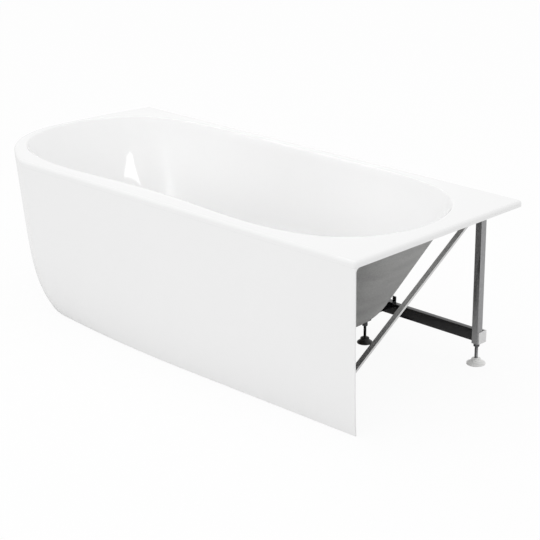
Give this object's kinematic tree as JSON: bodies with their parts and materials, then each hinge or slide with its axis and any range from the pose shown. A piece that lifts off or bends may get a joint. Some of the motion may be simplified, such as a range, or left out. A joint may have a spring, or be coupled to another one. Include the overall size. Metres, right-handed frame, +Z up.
{
  "type": "bathtub",
  "caption": "White bath for a corner: oval basin, rounded free end with a one-piece apron, open end showing the steel frame, levelling feet and waste.",
  "frame": {"origin": "floor level, under the middle of the bath's outline", "axes": "+X along the bath to the open end, +Y to the back wall, +Z up"},
  "size_m": [1.7999, 0.8, 0.55],
  "materials": {
    "acrylic": "high gloss",
    "resin": "rough sprayed resin and glass",
    "timber": "sawn",
    "black_steel": "gloss black paint",
    "zinc_steel": "zinc plated",
    "pale_steel": "pale grey paint",
    "black_plastic": "moulded",
    "white_pad": "moulded",
    "white_plastic": "moulded",
    "chrome": "polished",
    "seal_rubber": "matt"
  },
  "bodies": {
    "tub": {"bath_shell": "acrylic", "basin_backing": "resin", "apron": "acrylic", "apron_backing": "resin", "base_board": "timber", "rim_batten": "timber", "corner_block": "timber", "back_rail": "black_steel", "front_rail": "black_steel", "cross_member_right": "black_steel", "cross_member_left": "black_steel", "post": "zinc_steel", "post_insert": "zinc_steel", "post_top_plate": "zinc_steel", "brace": "zinc_steel", "brace_foot": "zinc_steel", "foot_clamp": "pale_steel", "saddle_right": "black_steel", "saddle_left": "black_steel", "rail_caps": "black_plastic", "apron_spacers": "timber", "foot_plates": "black_steel", "weld_nuts": "zinc_steel", "lock_nuts": "zinc_steel", "waste_flange": "chrome", "waste_seal": "seal_rubber", "waste_nut": "white_plastic", "trap": "white_plastic", "outlet_pipe": "white_plastic", "outlet_collar": "white_plastic"},
    "plug": {"waste_plug": "chrome"},
    "pad_back_right": {"pad_back_right": "white_pad"},
    "rod_back_right": {"rod_back_right": "zinc_steel"},
    "pad_back_left": {"pad_back_left": "white_pad"},
    "rod_back_left": {"rod_back_left": "zinc_steel"},
    "pad_front_right": {"pad_front_right": "white_pad"},
    "rod_front_right": {"rod_front_right": "zinc_steel"},
    "pad_inner_back_right": {"pad_inner_back_right": "black_plastic"},
    "rod_inner_back_right": {"rod_inner_back_right": "black_steel"},
    "pad_inner_front_right": {"pad_inner_front_right": "black_plastic"},
    "rod_inner_front_right": {"rod_inner_front_right": "black_steel"},
    "pad_inner_back_left": {"pad_inner_back_left": "black_plastic"},
    "rod_inner_back_left": {"rod_inner_back_left": "black_steel"},
    "pad_inner_front_left": {"pad_inner_front_left": "black_plastic"},
    "rod_inner_front_left": {"rod_inner_front_left": "black_steel"}
  },
  "joints": [
    {"name": "foot_height_back_right", "type": "slide", "parent": "tub", "child": "pad_back_right", "axis": [0, 0, 1], "range_m": [-0.0105, 0.0105]},
    {"name": "rod_turn_back_right", "type": "hinge", "parent": "pad_back_right", "child": "rod_back_right", "pos_m": [0.8165, 0.2985, 0.01], "axis": [0, 0, 1], "range_deg": [-2160, 2160]},
    {"name": "foot_height_back_left", "type": "slide", "parent": "tub", "child": "pad_back_left", "axis": [0, 0, 1], "range_m": [-0.0105, 0.0105]},
    {"name": "rod_turn_back_left", "type": "hinge", "parent": "pad_back_left", "child": "rod_back_left", "pos_m": [-0.61, 0.296, 0.01], "axis": [0, 0, 1], "range_deg": [-2160, 2160]},
    {"name": "foot_height_front_right", "type": "slide", "parent": "tub", "child": "pad_front_right", "axis": [0, 0, 1], "range_m": [-0.0105, 0.0105]},
    {"name": "rod_turn_front_right", "type": "hinge", "parent": "pad_front_right", "child": "rod_front_right", "pos_m": [0.799, -0.35, 0.01], "axis": [0, 0, 1], "range_deg": [-2160, 2160]},
    {"name": "foot_height_inner_back_right", "type": "slide", "parent": "tub", "child": "pad_inner_back_right", "axis": [0, 0, 1], "range_m": [-0.009, 0.009]},
    {"name": "rod_turn_inner_back_right", "type": "hinge", "parent": "pad_inner_back_right", "child": "rod_inner_back_right", "pos_m": [0.437, 0.187, 0.01], "axis": [0, 0, 1], "range_deg": [-2160, 2160]},
    {"name": "foot_height_inner_front_right", "type": "slide", "parent": "tub", "child": "pad_inner_front_right", "axis": [0, 0, 1], "range_m": [-0.009, 0.009]},
    {"name": "rod_turn_inner_front_right", "type": "hinge", "parent": "pad_inner_front_right", "child": "rod_inner_front_right", "pos_m": [0.437, -0.187, 0.01], "axis": [0, 0, 1], "range_deg": [-2160, 2160]},
    {"name": "foot_height_inner_back_left", "type": "slide", "parent": "tub", "child": "pad_inner_back_left", "axis": [0, 0, 1], "range_m": [-0.009, 0.009]},
    {"name": "rod_turn_inner_back_left", "type": "hinge", "parent": "pad_inner_back_left", "child": "rod_inner_back_left", "pos_m": [-0.437, 0.187, 0.01], "axis": [0, 0, 1], "range_deg": [-2160, 2160]},
    {"name": "foot_height_inner_front_left", "type": "slide", "parent": "tub", "child": "pad_inner_front_left", "axis": [0, 0, 1], "range_m": [-0.009, 0.009]},
    {"name": "rod_turn_inner_front_left", "type": "hinge", "parent": "pad_inner_front_left", "child": "rod_inner_front_left", "pos_m": [-0.437, -0.187, 0.01], "axis": [0, 0, 1], "range_deg": [-2160, 2160]},
    {"name": "plug_lift", "type": "slide", "parent": "tub", "child": "plug", "axis": [0, 0, 1], "range_m": [0, 0.008]}
  ],
  "couplings": [
    {"joint": "rod_turn_back_right", "follows": "foot_height_back_right", "rad_per_m": 3590.4},
    {"joint": "rod_turn_back_left", "follows": "foot_height_back_left", "rad_per_m": 3590.4},
    {"joint": "rod_turn_front_right", "follows": "foot_height_front_right", "rad_per_m": 3590.4},
    {"joint": "rod_turn_inner_back_right", "follows": "foot_height_inner_back_right", "rad_per_m": 4188.8},
    {"joint": "rod_turn_inner_front_right", "follows": "foot_height_inner_front_right", "rad_per_m": 4188.8},
    {"joint": "rod_turn_inner_back_left", "follows": "foot_height_inner_back_left", "rad_per_m": 4188.8},
    {"joint": "rod_turn_inner_front_left", "follows": "foot_height_inner_front_left", "rad_per_m": 4188.8}
  ]
}
